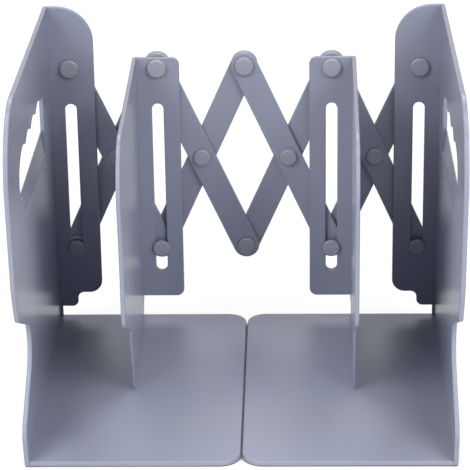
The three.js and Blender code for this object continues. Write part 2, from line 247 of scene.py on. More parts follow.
def plate(rim, holes, thickness, view, place):
    """A closed flat solid. Its points are every loop at height 0, then again at the thickness,
    turned by the view's matrix and moved to the place."""
    loops = [rim] + [hole[::-1] for hole in holes]
    flat = np.concatenate(loops)
    count = len(flat)
    starts = np.cumsum([0] + [len(loop) for loop in loops])
    rings = [list(range(a, b)) for a, b in zip(starts[:-1], starts[1:])]
    points = [Vector(p) for p in flat]
    filled = delaunay_2d_cdt(points, [], rings, LARGE_FACES, SAME_SPOT)
    if len(filled[0]) != count:
        raise ValueError("an outline crosses itself")
    first = np.array([ids[0] for ids in filled[3]])
    caps = [[int(first[i]) for i in face] for face in filled[2]]
    faces = [[i + count for i in face] for face in caps] + [face[::-1] for face in caps]
    for ring in rings:
        faces += [(a, b, b + count, a + count) for a, b in zip(ring, ring[1:] + ring[:1])]
    local = np.zeros((2 * count, 3))
    local[:count, :2] = flat
    local[count:, :2] = flat
    local[count:, 2] = thickness
    world = local @ np.array(view).T + np.array(place)
    return new_object("plate", world, faces)


views = (SIDE_VIEW, BACK_VIEW, PLAN_VIEW)
print("determinants, 1 where a view keeps faces outwards:", [round(v.determinant()) for v in views])

# %% [markdown]
# ## Round edges
# No moulding has a sharp outer edge. A Bevel modifier could round every sharp edge at once, but in
# the photograph the creases between panel, flange and base are crisp, and only the edges that stand
# out carry a line of light. So the edges are sorted first, and the modifier works by their weights.

# %% A mesh as arrays
def read(rows, name, width=1, kind=np.float32):
    """One property of all of a mesh's rows, as an array."""
    values = np.zeros(len(rows) * width, kind)
    rows.foreach_get(name, values)
    return values.reshape(-1, width) if width > 1 else values


def corner_faces(mesh):
    """The face that each face corner belongs to."""
    counts = read(mesh.polygons, "loop_total", kind=np.int32)
    return np.repeat(np.arange(len(counts)), counts)


def both_sides(mesh):
    """The two face corners of each edge, as two arrays."""
    edge = read(mesh.loops, "edge_index", kind=np.int32)
    order = np.argsort(edge, kind="stable")
    paired = (np.bincount(edge, minlength=len(mesh.edges)) == 2)[edge[order]]
    return order[paired].reshape(-1, 2).T


# %% Edges that stand out
CREASE = math.radians(28)          # flatter than this is one smooth surface


def outer_edges(mesh):
    """1 for each edge that stands out, and 0 for creases and flat edges. Between faces with the
    normals n and m, an edge stands out if they differ by more than CREASE and (n x m) . e is
    positive, where e runs along the edge as the first face's outline does."""
    one, other = both_sides(mesh)
    face = corner_faces(mesh)
    normals = read(mesh.polygons, "normal", 3)
    edge = read(mesh.loops, "edge_index", kind=np.int32)[one]
    start = read(mesh.loops, "vertex_index", kind=np.int32)[one]
    end = read(mesh.edges, "vertices", 2, np.int32)[edge].sum(1) - start
    spots = read(mesh.vertices, "co", 3)
    n, m = normals[face[one]], normals[face[other]]
    sharp = (n * m).sum(1) < math.cos(CREASE)
    out = (np.cross(n, m) * (spots[end] - spots[start])).sum(1) > 0
    chosen = np.zeros(len(mesh.edges), np.float32)
    chosen[edge] = sharp & out
    return chosen


print("an edge bends by more than", round(math.degrees(CREASE)), "degrees")

# %% [markdown]
# ## Shading
# Smooth shading blends the normals of neighbouring faces, which would bend the light on the large
# flat walls next to their round edges. Here the large flats outweigh the narrow faces of a bevel,
# so a wall stays flat up to its edge and only the edge itself turns.

# %% Smooth shading that keeps flats flat
FLAT = math.radians(0.3)           # flatter than this is one plane


def flats_of(mesh, normals):
    """A number for each face that it shares with all faces of the same flat: across each edge
    between faces less than FLAT apart, both take the lower number, until nothing changes."""
    one, other = corner_faces(mesh)[both_sides(mesh)]
    same = (normals[one] * normals[other]).sum(1) > math.cos(FLAT)
    one, other = one[same], other[same]
    flats = np.arange(len(normals))
    while True:
        lower = np.minimum(flats[one], flats[other])
        if (flats[one] == lower).all() and (flats[other] == lower).all():
            return flats
        np.minimum.at(flats, one, lower)
        np.minimum.at(flats, other, lower)


def soften(mesh):
    """Smooth shading that leaves flat faces flat.

    At each face corner the normal is the mean of the faces round that vertex that lie within
    CREASE of this face, each weighted by the squared area of the flat that it belongs to."""
    normals = read(mesh.polygons, "normal", 3)
    areas = read(mesh.polygons, "area")
    face = corner_faces(mesh)
    vertex = read(mesh.loops, "vertex_index", kind=np.int32)
    flats = flats_of(mesh, normals)
    weights = (np.bincount(flats, areas, len(normals))[flats] / MM**2) ** 2
    order = np.argsort(vertex, kind="stable")
    counts = np.bincount(vertex, minlength=len(mesh.vertices))
    first = np.cumsum(counts) - counts
    rank = np.empty(len(vertex), int)
    rank[order] = np.arange(len(vertex)) - first[vertex[order]]
    mean = np.zeros((len(vertex), 3))
    for step in range(counts.max()):
        partner = face[order[first[vertex] + (rank + step) % counts[vertex]]]
        near = (normals[face] * normals[partner]).sum(1) > math.cos(CREASE)
        near &= step < counts[vertex]
        mean += normals[partner] * (weights[partner] * near)[:, None]
    mean /= np.linalg.norm(mean, axis=1)[:, None]
    mesh.shade_smooth()
    mesh.normals_split_custom_set(mean.tolist())


print("a flat bends by less than", round(math.degrees(FLAT), 1), "degrees")

# %% Rounding, mirroring, and the upright corner behind
WELD = 0.002 * MM                  # points nearer than this are merged
IN_PLANE = math.radians(0.2)       # faces that bend by less are merged
EDGE_STEPS = 3                     # faces across a round edge
BACK_STEPS = 8                     # points along the quarter circle behind


def tidy(mesh):
    """Welds doubles and merges neighbouring faces that lie in one plane."""
    work = bmesh.new()
    work.from_mesh(mesh)
    bmesh.ops.remove_doubles(work, verts=work.verts, dist=WELD)
    bmesh.ops.dissolve_limit(
        work, angle_limit=IN_PLANE, verts=work.verts, edges=work.edges,
        use_dissolve_boundaries=False)
    work.to_mesh(mesh)
    work.free()


def round_edges(piece, width):
    """Rounds the edges that stand out by a bevel of this width. Creases stay sharp."""
    tidy(piece.data)
    weights = piece.data.attributes.new("bevel_weight_edge", "FLOAT", "EDGE")
    weights.data.foreach_set("value", outer_edges(piece.data))
    bevel = piece.modifiers.new("edges", "BEVEL")
    bevel.width, bevel.segments, bevel.limit_method = width, EDGE_STEPS, "WEIGHT"
    bevel.use_clamp_overlap = bevel.loop_slide = False
    bevel.miter_outer = "MITER_ARC"
    settle(piece)
    soften(piece.data)


def mirror_of(piece):
    """The piece's mirror image across the middle plane: every X is negated and every face is
    turned round, so that it faces outwards again."""
    mesh = piece.data.copy()
    mesh.transform(Matrix.Scale(-1, 4, (1, 0, 0)))
    mesh.flip_normals()
    soften(mesh)
    return add_object("twin", mesh)


def corner_cutter(corner_x, height):
    """Takes the upright outer corner behind a left piece off, down to a quarter circle."""
    turn = np.linspace(math.pi, math.pi / 2, BACK_STEPS)
    arc = round_points(turn) * BACK_ROUND + (corner_x + BACK_ROUND, BACK_Y - BACK_ROUND)
    outside = np.array([
        (corner_x + BACK_ROUND, BACK_Y + OVERRUN), (corner_x - OVERRUN, BACK_Y + OVERRUN),
        (corner_x - OVERRUN, BACK_Y - BACK_ROUND)])
    rim = facing(np.concatenate([arc, outside]))
    return plate(rim, [], height + 2 * OVERRUN, PLAN_VIEW, (0, 0, -OVERRUN))


print("edges are rounded in", EDGE_STEPS, "steps")

# %% [markdown]
# ## Plastic
# All pieces are injection-moulded ABS, slightly glossy. Up close such a surface isn't one colour:
# the pigment clouds a little where the melt flowed, the steel mould leaves a fine grain and a slow
# waviness, and handling leaves a few hairlines. All of it is worked out from Object coordinates, so
# it needs no image and no UV map.
#
# The small class below lets the shader's sums be written as sums.

# %% Sums on sockets
class Number:
    """A socket that carries a number. Arithmetic on it adds Math nodes to its finish."""

    def __init__(self, finish, socket):
        self.finish, self.socket = finish, socket

    def __add__(self, other):
        return self.finish.maths("ADD", self, other)

    def __sub__(self, other):
        return self.finish.maths("SUBTRACT", self, other)

    def __rsub__(self, other):
        return self.finish.maths("SUBTRACT", other, self)

    def __mul__(self, other):
        return self.finish.maths("MULTIPLY", self, other)

    __radd__ = __add__
    __rmul__ = __mul__


# %% Nodes of a finish
class Finish:
    """The nodes of one material, or of the world."""

    def __init__(self, owner):
        owner.use_nodes = True
        self.tree = owner.node_tree
        self.tree.nodes.clear()

    def node(self, kind, settings=None, sockets=None, result=None):
        """Adds a node: its type, its settings, then its sockets' values or links. Sockets are
        named, or numbered where two have one name. Gives its first live output, or the named."""
        made = self.tree.nodes.new(kind)
        for name, value in (settings or {}).items():
            setattr(made, name, value)
        for name, value in (sockets or {}).items():
            live = [s for s in made.inputs if s.enabled and s.name == name]
            target = made.inputs[name] if isinstance(name, int) else live[0]
            if isinstance(value, Number):
                self.tree.links.new(value.socket, target)
            else:
                target.default_value = value
        outputs = [s for s in made.outputs if s.enabled and result in (None, s.name)]
        return Number(self, outputs[0]) if outputs else made

    def ray(self, kind):
        """1 for camera, glossy or transmission rays, and 0 for the rest."""
        return self.node("ShaderNodeLightPath", result=f"Is {kind} Ray")

    def maths(self, operation, one, other=0.0):
        return self.node("ShaderNodeMath", {"operation": operation}, {0: one, 1: other})

    def between(self, value, low, high):
        """0 below low, 1 above high, and a smooth step from one to the other."""
        return self.node(
            "ShaderNodeMapRange", {"interpolation_type": "SMOOTHSTEP"},
            {"Value": value, "From Min": low, "From Max": high})

    def blend(self, share, one, other):
        """From one colour to the other."""
        return self.node(
            "ShaderNodeMix", {"data_type": "RGBA"}, {"Factor": share, "A": one, "B": other})

    def place(self):
        """The surface point, in metres."""
        return self.node("ShaderNodeTexCoord", result="Object")

    def noise(self, size, detail=2.0, stretch=(1, 1, 1), shift=0.0):
        """Noise from 0 to 1 whose bumps are about this size, in metres."""
        turned = self.node(
            "ShaderNodeMapping", None,
            {"Vector": self.place(), "Location": (shift, shift, shift), "Scale": stretch})
        return self.node(
            "ShaderNodeTexNoise", None, {"Vector": turned, "Scale": 1 / size, "Detail": detail})


print("finishes so far:", len(bpy.data.materials))

# %% Colours
SRGB_KNEE = 0.04045                # below this share sRGB is a straight line


def linear(red, green, blue):
    """A colour written from 0 to 255 in sRGB, as linear light with its alpha."""
    share = np.array([red, green, blue]) / 255
    light = np.where(share <= SRGB_KNEE, share / 12.92, ((share + 0.055) / 1.055) ** 2.4)
    return (*(float(x) for x in light), 1.0)


print("middle grey as linear light:", round(linear(128, 128, 128)[0], 3))

# %% [markdown]
# ## The three finishes
# One function makes all three, because they differ only in colour, gloss and grain. The gloss is
# what makes this plastic: at a flat angle the panels mirror the flange and the white room behind
# it, with soft edges, which takes a roughness of about 0.25. The top of the base plates mirrors
# less in the photograph, as if books had rubbed it, so the lowest millimetres are made rougher.
# The links' plastic is the shell's, painted a little paler to make up for light that they lack.

# %% Moulded plastic
CLOUD = 70 * MM                    # size of the colour's slow clouds
SPECKLE = 0.5 * MM                 # and of its fine dots
WAVE, WAVE_HEIGHT = 4 * MM, 0.004 * MM
GRAIN = 0.35 * MM
HAIRLINE, PATCH = 26 * MM, 18 * MM
SHARE = 0.35                       # how strongly dots and scuffs colour the plastic
PALER, DARKER = 0.12, 0.94
SCUFF_MATT, RUBBED_MATT = 0.12, 0.12   # how much rougher scuffs and the base plates' top are


def moulded(name, colour, warmer, roughness, grain, mirror):
    """ABS: a colour that clouds slowly into a warmer one, with fine darker dots, and hairline
    scuffs along the contour lines of a stretched noise, kept only where a second noise is high.
    Its height is a slow wave plus a fine grain."""
    material = bpy.data.materials.new(name)
    finish = Finish(material)
    clouds = finish.noise(CLOUD, 3)
    speckle = finish.noise(SPECKLE, 1)
    waves = finish.noise(WAVE, 0)
    grains = finish.noise(GRAIN, 2, shift=0.3)
    lines = finish.noise(HAIRLINE, 0, (1, 0.25, 1.3), 0.71)
    patches = finish.noise(PATCH, 1, shift=1.37)
    contour = finish.maths("ABSOLUTE", lines - 0.52)
    scuffs = (1 - finish.between(contour, 0.0008, 0.0028)) * finish.between(patches, 0.66, 0.74)
    tone = finish.blend(finish.between(clouds, 0.35, 0.65), colour, warmer)
    paler = tuple(c + (1 - c) * PALER for c in colour[:3]) + (1.0,)
    darker = tuple(c * DARKER for c in colour[:3]) + (1.0,)
    tone = finish.blend((1 - finish.between(speckle, 0.25, 0.5)) * SHARE, tone, darker)
    tone = finish.blend(scuffs * SHARE, tone, paler)
    up = finish.node("ShaderNodeSeparateXYZ", None, {"Vector": finish.place()}, result="Z")
    rubbed = 1 - finish.between(up, BASE_THICK, BASE_THICK + 1 * MM)
    gloss = roughness + (clouds - 0.5) * 0.06 + (grains - 0.5) * 0.04 + scuffs * SCUFF_MATT
    gloss += rubbed * RUBBED_MATT
    height = waves * WAVE_HEIGHT + grains * (grain * MM)
    bump = finish.node("ShaderNodeBump", None, {"Height": height, "Distance": 1.0})
    shader = finish.node("ShaderNodeBsdfPrincipled", None, {
        "Base Color": tone, "Roughness": gloss, "Normal": bump, "IOR": 1.53,
        "Specular IOR Level": mirror})
    finish.node("ShaderNodeOutputMaterial", None, {"Surface": shader})
    return material


shell = moulded("shell plastic", linear(153, 157, 178), linear(156, 160, 177), 0.24, 0.003, 0.35)
# Painted light: the links' colour is the shell's plastic made a little paler, which stands in for
# the light that the links lack at the back
link_plastic_painted_paler = moulded("link plastic", linear(158, 162, 182), linear(160, 163, 180), 0.3, 0.003, 0.35)
snap = moulded("rivet plastic", linear(163, 167, 179), linear(165, 168, 178), 0.34, 0.005, 0.4)
print("finishes:", shell.name, link_plastic_painted_paler.name, snap.name)

# %% [markdown]
# ## Dressing a piece
# The CAD nodes could wear the finish themselves, but their facets would show along every round
# edge. So each finished surface takes its node's place in the picture, and rides on the body that
# holds the node. Then it moves when the scissor opens.

# %% Body and slot of each piece
bodies = frame["record"]["behaviour"]["bodies"]
home = {node: body for body, members in bodies.items() for node in members}


def dress(piece, node, finish):
    """Puts the finish on a piece that stands for a CAD node, and lets it ride with it."""
    piece.name = piece.data.name = f"{node}_moulding"
    piece.data.materials.clear()
    piece.data.materials.append(finish)
    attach(piece, home[node])
    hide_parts(node)
    return piece


print("nodes that ride:", len(home))

# %% [markdown]
# ## End brackets
# Each end is one moulding: a base plate under the books, a panel beside them, and a narrow flange
# at the back that carries the linkage. The panel's handle has finger scallops along the top, and
# its lower edge is eased towards the inside, so that it doesn't cut into the hand. Three faces
# with a Solidify modifier would be quicker, but the walls differ in thickness, so three plates are
# joined. The ease is cut after the edges are rounded, because its border is crisp in the photo.

# %% Outline of an end panel
RISE = 0.036                       # slope of its top edge, up per forward


def top_edge_z(forward):
    """Height of an end panel's top edge, this far forward of the back plane."""
    return CAP_Z + RISE * forward


def side_corner(overhang, up, radius):
    """A corner of the panel, by how far it stands out past the base's front edge."""
    return BASE_DEPTH + overhang * MM, up, radius * MM


crown_z = top_edge_z(BASE_DEPTH + 23.6 * MM)
panel_rim = rounded_outline([
    (0, 0, 0),
    (0, CAP_Z, 0),
    side_corner(23.6, crown_z, 32),
    side_corner(15.5, 92 * MM, 28),
    side_corner(8, 75.5 * MM, 7),
    side_corner(-47, 48.5 * MM, 13.4),
    side_corner(4.7, 18.9 * MM, 8),
    (BASE_DEPTH, 0, 0),
])
print("end panel's top edge in mm:", round(CAP_Z / MM, 1), "to", round(crown_z / MM, 1))

# %% Outline of the handle
GRIP_REAR, GRIP_LENGTH, GRIP_HEIGHT = 35.5 * MM, 105.5 * MM, 21.5 * MM
STRAP = 31.3 * MM                  # wall over the handle
SCALLOP_PITCH, SCALLOP_DEPTH, SCALLOPS = 21.7 * MM, 2.9 * MM, 4
GRIP_NOSE = 29.1 * MM              # length of the round nose
GRIP_CORNER = 5 * MM


def grip_floor_z(forward):
    """Height of the handle's floor, which follows the panel's top edge."""
    return top_edge_z(forward) - STRAP - GRIP_HEIGHT


def grip_outline():
    """The handle's opening: a flat floor, a round rear corner, a row of scallops along the top,
    each a parabola between two cusps, and a nose of two Bezier curves at the front, whose control
    points are shares of its length and of the opening's height."""
    def at(u, v):
        return (GRIP_REAR + u, grip_floor_z(GRIP_REAR + u) + v)

    low = GRIP_HEIGHT - SCALLOP_DEPTH
    nose = GRIP_LENGTH - GRIP_NOSE
    first = nose - (SCALLOPS - 1) * SCALLOP_PITCH
    starts = [first + i * SCALLOP_PITCH for i in range(SCALLOPS - 1)]
    half = SCALLOP_PITCH / 2
    crest = low + 2 * SCALLOP_DEPTH
    runs = [[at(0, 0)], bezier([at(0, low - GRIP_CORNER), at(0, low), at(GRIP_CORNER, low)])]
    runs += [bezier([at(u, low), at(u + half, crest), at(u + 2 * half, low)]) for u in starts]
    bulge = at(nose + 0.26 * GRIP_NOSE, crest - 0.145 * SCALLOP_DEPTH)
    tip = at(GRIP_LENGTH, 0.47 * GRIP_HEIGHT)
    heel = at(nose + 0.67 * GRIP_NOSE, 0)
    runs.append(bezier([at(nose, low), bulge, at(nose + 0.94 * GRIP_NOSE, GRIP_HEIGHT), tip]))
    below = at(GRIP_LENGTH, 0.17 * GRIP_HEIGHT)
    runs += [bezier([tip, below, at(nose + 0.85 * GRIP_NOSE, 0), heel]), [heel]]
    return facing(np.concatenate(runs))


grip = grip_outline()
print("handle's opening in mm:", (np.ptp(grip, axis=0) / MM).round(1))

# %% Eased edge of the handle
EASE_DROP = 12.3 * MM              # how far the ease reaches below the opening
EASE_LIP = 0.6 * MM                # wall that it leaves at the opening
EASE_STEP = 0.4 * MM               # depth and height of the slanted step along its border


def ease_cutter():
    """What the ease takes away. Its section runs along the handle's floor: from the lip it
    slopes down to the lower border, where it ends in a small slanted step."""
    near, lip = -INNER_X + OVERRUN, -OUTER_X + EASE_LIP
    section = facing(np.array([
        (lip, GRIP_CORNER), (lip, 0), (-INNER_X - EASE_STEP, EASE_STEP - EASE_DROP),
        (-INNER_X, -EASE_DROP), (near, -EASE_DROP), (near, GRIP_CORNER)]))
    wedge = plate(section, [], GRIP_LENGTH, BACK_VIEW, (0, -GRIP_REAR, grip_floor_z(0)))
    slope = Matrix.Identity(4)
    slope[2][1] = -RISE
    wedge.data.transform(slope)
    reach = GRIP_REAR + GRIP_LENGTH - 0.33 * GRIP_NOSE
    foot, front_foot = grip_floor_z(GRIP_REAR) - EASE_DROP, grip_floor_z(reach) - EASE_DROP
    window_rim = rounded_outline([
        (GRIP_REAR, foot - OVERRUN, 0),
        (GRIP_REAR, grip_floor_z(GRIP_REAR) + GRIP_CORNER, 0),
        (reach, grip_floor_z(reach) + GRIP_CORNER, 0),
        (reach, front_foot, 8 * MM),
        (reach - GRIP_NOSE, front_foot - OVERRUN, 0),
    ])
    window = plate(window_rim, [], 3 * OVERRUN, SIDE_VIEW, (near, 0, 0))
    combine(wedge, window, "INTERSECT")
    wedge.data.transform(Matrix.Translation((0, BACK_Y, 0)))
    return wedge


print("ease below the handle in mm:", round(EASE_DROP / MM, 1))

# %% Outlines of base plate and end flange
SEAM, BASE_CORNER = 0.7 * MM, 9.5 * MM
base_rim = rounded_outline([
    (-OUTER_X, BACK_Y - BASE_DEPTH, 0),
    (-SEAM / 2, BACK_Y - BASE_DEPTH, BASE_CORNER),
    (-SEAM / 2, BACK_Y, BASE_CORNER),
    (-OUTER_X, BACK_Y, 0),
])
end_pin = upper_pins[0].x
end_tail = LOWER_Z - 24.9 * MM
lobe_x, lobe_z = -INNER_X + 9.4 * MM, BASE_THICK + 5.4 * MM
end_flange_rim = rounded_outline([
    (-OUTER_X, 0, 0),
    (-OUTER_X, CAP_Z, 0),
    (end_pin + 12.2 * MM, CAP_Z, 18 * MM),
    (end_pin + 12.2 * MM, end_tail, 6.5 * MM),
    (lobe_x, end_tail, 3.2 * MM),
    (lobe_x, lobe_z, 3.2 * MM),
    (-INNER_X + 1.3 * MM, lobe_z, 0),
    (-INNER_X + 1.3 * MM, 0, 0),
])
end_flange_holes = [
    slot(end_pin, LOWER_Z - 1.25 * MM, SLOT_TOP_Z, SLOT_WIDTH),
    circle(end_pin, UPPER_Z, HOLE_RADIUS),
]
print("end flange's lower edge in mm:", round(end_tail / MM, 1))

# %% One moulding of three plates, and its mirror image
end_left = plate(panel_rim, [grip], PANEL_WALL, SIDE_VIEW, (-INNER_X, BACK_Y, 0))
combine(end_left, plate(base_rim, [], BASE_THICK, PLAN_VIEW, (0, 0, 0)), "UNION")
end_flange = plate(end_flange_rim, end_flange_holes, FLANGE_WALL, BACK_VIEW, (0, BACK_Y, 0))
combine(end_left, end_flange, "UNION")
combine(end_left, corner_cutter(-OUTER_X, CAP_Z), "DIFFERENCE")
round_edges(end_left, EDGE)
combine(end_left, ease_cutter(), "DIFFERENCE")
soften(end_left.data)
end_right = mirror_of(end_left)
dress(end_left, "left_bracket", shell)
dress(end_right, "right_bracket", shell)
print("each end:", len(end_left.data.polygons), "faces")

# %% [markdown]
# ## Hanging dividers
# A divider hangs on its upper rivet and rides along the slots. Its wing is thinner than an end
# panel, turns in a little towards the front, and runs down in a thin leg to just above the base.
# A narrower copy of an end wouldn't do, because the leg is thinner than the wing. So the wing has
# an outline of its own, a cutter thins the leg, and a second cutter trims the turned wing behind.

# %% Outline of a divider's wing
DIVIDER_WALL, LEG_WALL = 2 * MM, 1.5 * MM
TOE_IN = math.radians(0.64)
WING_RISE = 0.0455                 # slope of its top edge, up per forward
DIVIDER_INNER = -upper_pins[1].x + 9.95 * MM
WING_REACH = 152.9 * MM
DIVIDER_TOP = UPPER_Z + 5.2 * MM
LEG_ROOT, LEG_FOOT = 41.6 * MM, BASE_THICK + 0.8 * MM


def wing_corner(setback, up, radius):
    """A corner of the wing, by how far it lies behind the wing's top front corner."""
    return WING_REACH - setback * MM, up, radius * MM


wing_rim = rounded_outline([
    (-OVERRUN, LEG_FOOT, 0),
    (-OVERRUN, DIVIDER_TOP - WING_RISE * OVERRUN, 0),
    wing_corner(0, DIVIDER_TOP + WING_RISE * WING_REACH, 28),
    wing_corner(10.1, 96 * MM, 24),
    wing_corner(10.9, 61 * MM, 7),
    wing_corner(48.5, LEG_ROOT, 5),
    wing_corner(64.9, LEG_FOOT, 2),
])
print("wing's reach in mm:", round(WING_REACH / MM, 1), "leg's foot at", round(LEG_FOOT / MM, 1))

# %% Wing with its thin leg
divider_left = plate(wing_rim, [], DIVIDER_WALL, SIDE_VIEW, (0, 0, 0))
thinning = facing(np.array([
    (-LEG_WALL, -OVERRUN),
    (-LEG_WALL, LEG_ROOT - 1.5 * MM),
    (-DIVIDER_WALL, LEG_ROOT),
    (-DIVIDER_WALL - OVERRUN, LEG_ROOT),
    (-DIVIDER_WALL - OVERRUN, -OVERRUN),
]))
leg_cutter = plate(thinning, [], 1.2 * WING_REACH, BACK_VIEW, (0, 2 * OVERRUN, 0))
combine(divider_left, leg_cutter, "DIFFERENCE")
hang = Matrix.Translation((-DIVIDER_INNER, BACK_Y, 0)) @ Matrix.Rotation(TOE_IN, 4, "Z")
divider_left.data.transform(hang)
behind_rim = np.array([(-1, 0), (0, 0), (0, 1), (-1, 1)]) * (2 * OVERRUN)
behind_rim += (-DIVIDER_INNER + OVERRUN, BACK_Y)
behind = plate(behind_rim, [], CAP_Z, PLAN_VIEW, (0, 0, -OVERRUN))
combine(divider_left, behind, "DIFFERENCE")
print("wing:", len(divider_left.data.polygons), "faces")

# %% Flange, and the whole divider
hang_pin = upper_pins[1].x
divider_tail = LOWER_Z - 26.9 * MM
divider_flange_rim = rounded_outline([
    (-DIVIDER_INNER - LEG_WALL / 2, divider_tail, 0),
    (-DIVIDER_INNER - LEG_WALL / 2, DIVIDER_TOP, 0),
    (hang_pin + 11.05 * MM, DIVIDER_TOP, 3.8 * MM),
    (hang_pin + 11.05 * MM, divider_tail, 3.8 * MM),
])
divider_holes = [
    slot(hang_pin, LOWER_Z - 9.8 * MM, SLOT_TOP_Z, SLOT_WIDTH),
    circle(hang_pin, UPPER_Z, HOLE_RADIUS),
]
divider_flange = plate(
    divider_flange_rim, divider_holes, FLANGE_WALL, BACK_VIEW, (0, BACK_Y, 0))
combine(divider_left, divider_flange, "UNION")
outer_face = -DIVIDER_INNER - DIVIDER_WALL / math.cos(TOE_IN)
combine(divider_left, corner_cutter(outer_face, CAP_Z), "DIFFERENCE")
round_edges(divider_left, EDGE)
divider_right = mirror_of(divider_left)
dress(divider_left, "left_divider", shell)
dress(divider_right, "right_divider", shell)
print("each divider:", len(divider_left.data.polygons), "faces")

# %% [markdown]
# ## Scissor links
# Eight flat links with round ends, four in a front layer and four behind, lean by the angle
# between neighbouring pins. One link could be made once and turned as an object, but a finished
# piece sits unturned at the origin, so each outline is turned before it becomes a plate.

# %% Links
LINK_WIDTH, LINK_THICK = 13 * MM, 2.4 * MM
LINK_EDGE = 0.5 * MM
LINK_SPAN = math.hypot(PITCH, UPPER_Z - LOWER_Z)
LEAN = math.atan2(PITCH, UPPER_Z - LOWER_Z)


def link(centre, back_y, lean, node):
    """A slot-shaped plate with three holes, leaning by an angle: each point of the upright
    outline turns about the link's middle by that angle."""
    turn = np.array([[math.cos(lean), math.sin(lean)], [-math.sin(lean), math.cos(lean)]])
    rim = slot(0, -LINK_SPAN / 2, LINK_SPAN / 2, LINK_WIDTH) @ turn
    holes = [circle(0, up, HOLE_RADIUS) @ turn for up in (-LINK_SPAN / 2, 0, LINK_SPAN / 2)]
    piece = plate(rim, holes, LINK_THICK, BACK_VIEW, (centre.x, back_y, centre.z))
    round_edges(piece, LINK_EDGE)
    return dress(piece, node, link_plastic_painted_paler)


for i, centre in enumerate(crossings):
    for row, lean in (("front", LEAN), ("rear", -LEAN)):
        node = f"{row}_link_{i + 1}"
        link(centre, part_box(node)[1].y, lean, node)
print("links:", 2 * len(crossings), "span in mm:", round(LINK_SPAN / MM, 2))

# %% [markdown]
# ## Snap rivets
# Every pivot is a rivet in two halves. The front half is a flat button with a rounded rim and a
# post behind it. The rear half is a button with a sleeve, and the post snaps into its bore. Both
# are round, so a profile of radius and depth is carried round the pin's axis. That gives a truer
# rim than a bevelled cylinder does.

# %% Turned pieces
STEPS = 60


def turned(profile, pin):
    """A solid of revolution about an axis along Y. A profile point (radius, back) at the angle a
    lies at (x + radius cos a, back, z + radius sin a). Points on the axis are merged."""
    radius, back = np.array(profile, float).T[:, :, None]
    angle = np.linspace(0, math.tau, STEPS, endpoint=False)[None]
    across, up = pin.x + radius * np.cos(angle), pin.z + radius * np.sin(angle)
    points = np.stack([across, back + 0 * angle, up], axis=2).reshape(-1, 3)
    row = np.arange(len(profile) - 1)[:, None] * STEPS
    one, after = np.arange(STEPS)[None], (np.arange(STEPS)[None] + 1) % STEPS
    faces = np.stack([row + one, row + after, row + after + STEPS, row + one + STEPS], axis=2)
    piece = new_object("turned", points, faces.reshape(-1, 4))
    work = bmesh.new()
    work.from_mesh(piece.data)
    bmesh.ops.remove_doubles(work, verts=work.verts, dist=WELD)
    bmesh.ops.recalc_face_normals(work, faces=work.faces)
    work.to_mesh(piece.data)
    work.free()
    soften(piece.data)
    return piece


print("a turned piece has", STEPS, "faces round it")

# %% Face of a rivet
HEAD_THICK = 2 * MM
HEAD_ROUND, HEAD_HEEL = 1 * MM, 0.5 * MM      # round rims of a rivet's face and underside
DOME = 0.06 * MM                   # how far a rivet's face bulges


def button(head, front, inward):
    """The visible face of a rivet, from its centre to its rim: a face domed as the square of the
    radius, then a quarter ellipse and a quarter circle. Depth grows inward, towards +Y or -Y."""
    u = np.linspace(0, 1, 6)[:, None]
    flat = head - HEAD_ROUND
    face = np.hstack([flat * u, DOME * u**2])
    a = np.linspace(0, math.pi / 2, 10)[1:, None]
    rim = np.hstack([
        flat + HEAD_ROUND * np.sin(a), DOME + (HEAD_ROUND - DOME) * (1 - np.cos(a))])
    heel = round_points(np.linspace(0, math.pi / 2, 6)) * HEAD_HEEL
    heel += (head - HEAD_HEEL, HEAD_THICK - HEAD_HEEL)
    profile = np.concatenate([face, rim, heel])
    profile[:, 1] = front + inward * profile[:, 1]
    return profile


print("head thickness in mm:", round(HEAD_THICK / MM, 2))

# %% Both halves of each rivet
POST, BORE_FLOOR = 2.6 * MM, 1 * MM
NICK = 0.15 * MM                   # the smallest chamfers


def post_half(node, pin):
    """Button, then the post with its chamfered tip."""
    low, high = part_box(node)
    head, front, tip = (high.x - low.x) / 2, low.y, high.y
    shaft = [
        (POST / 2, front + HEAD_THICK), (POST / 2, tip - NICK), (POST / 2 - NICK, tip), (0, tip)]
    piece = turned(np.concatenate([button(head, front, 1), shaft]), pin)
    return dress(piece, node, snap)


def socket_half(node, pin):
    """Button at the back, then the sleeve, and the bore that takes the post."""
    low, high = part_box(node)
    head, mouth, back = (high.x - low.x) / 2, low.y, high.y
    bore, sleeve, floor_y = POST / 2 + PIVOT_GAP, SLEEVE / 2, back - BORE_FLOOR
    hollow = [
        (sleeve, back - HEAD_THICK), (sleeve, mouth + NICK), (sleeve - NICK, mouth),
        (bore + NICK, mouth), (bore, mouth + NICK), (bore, floor_y), (0, floor_y)]
    piece = turned(np.concatenate([button(head, back, -1), hollow]), pin)
    return dress(piece, node, snap)


pins = {f"upper_rivet_{i + 1}": pin for i, pin in enumerate(upper_pins)}
pins |= {f"lower_rivet_{i + 1}": pin for i, pin in enumerate(lower_pins)}
pins |= {f"cross_rivet_{i + 1}": pin for i, pin in enumerate(crossings)}
for name, pin in pins.items():
    post_half(f"{name}_post", pin)
    socket_half(f"{name}_socket", pin)
print("rivets:", len(pins), "of two halves each")

# %% [markdown]
# ## Spacer rings
# Two plain rings fill the front layer where a rear link meets an end flange with no front link
# between them. They are turned like the rivets. Their profile is closed, which leaves the bore
# open.

# %% Spacer rings
SPACER = 9 * MM                    # outer diameter


def ring(node):
    """A closed profile, a rectangle with nicked corners, carried round the pin."""
    low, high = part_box(node)
    rim, bore = SPACER / 2, HOLE_RADIUS
    profile = [
        (bore, low.y + NICK), (bore + NICK, low.y), (rim - NICK, low.y), (rim, low.y + NICK),
        (rim, high.y - NICK), (rim - NICK, high.y), (bore + NICK, high.y), (bore, high.y - NICK),
        (bore, low.y + NICK)]
    return dress(turned(profile, (low + high) / 2), node, snap)


for node in ("lower_left_spacer", "upper_right_spacer"):
    print("spacer:", ring(node).name)
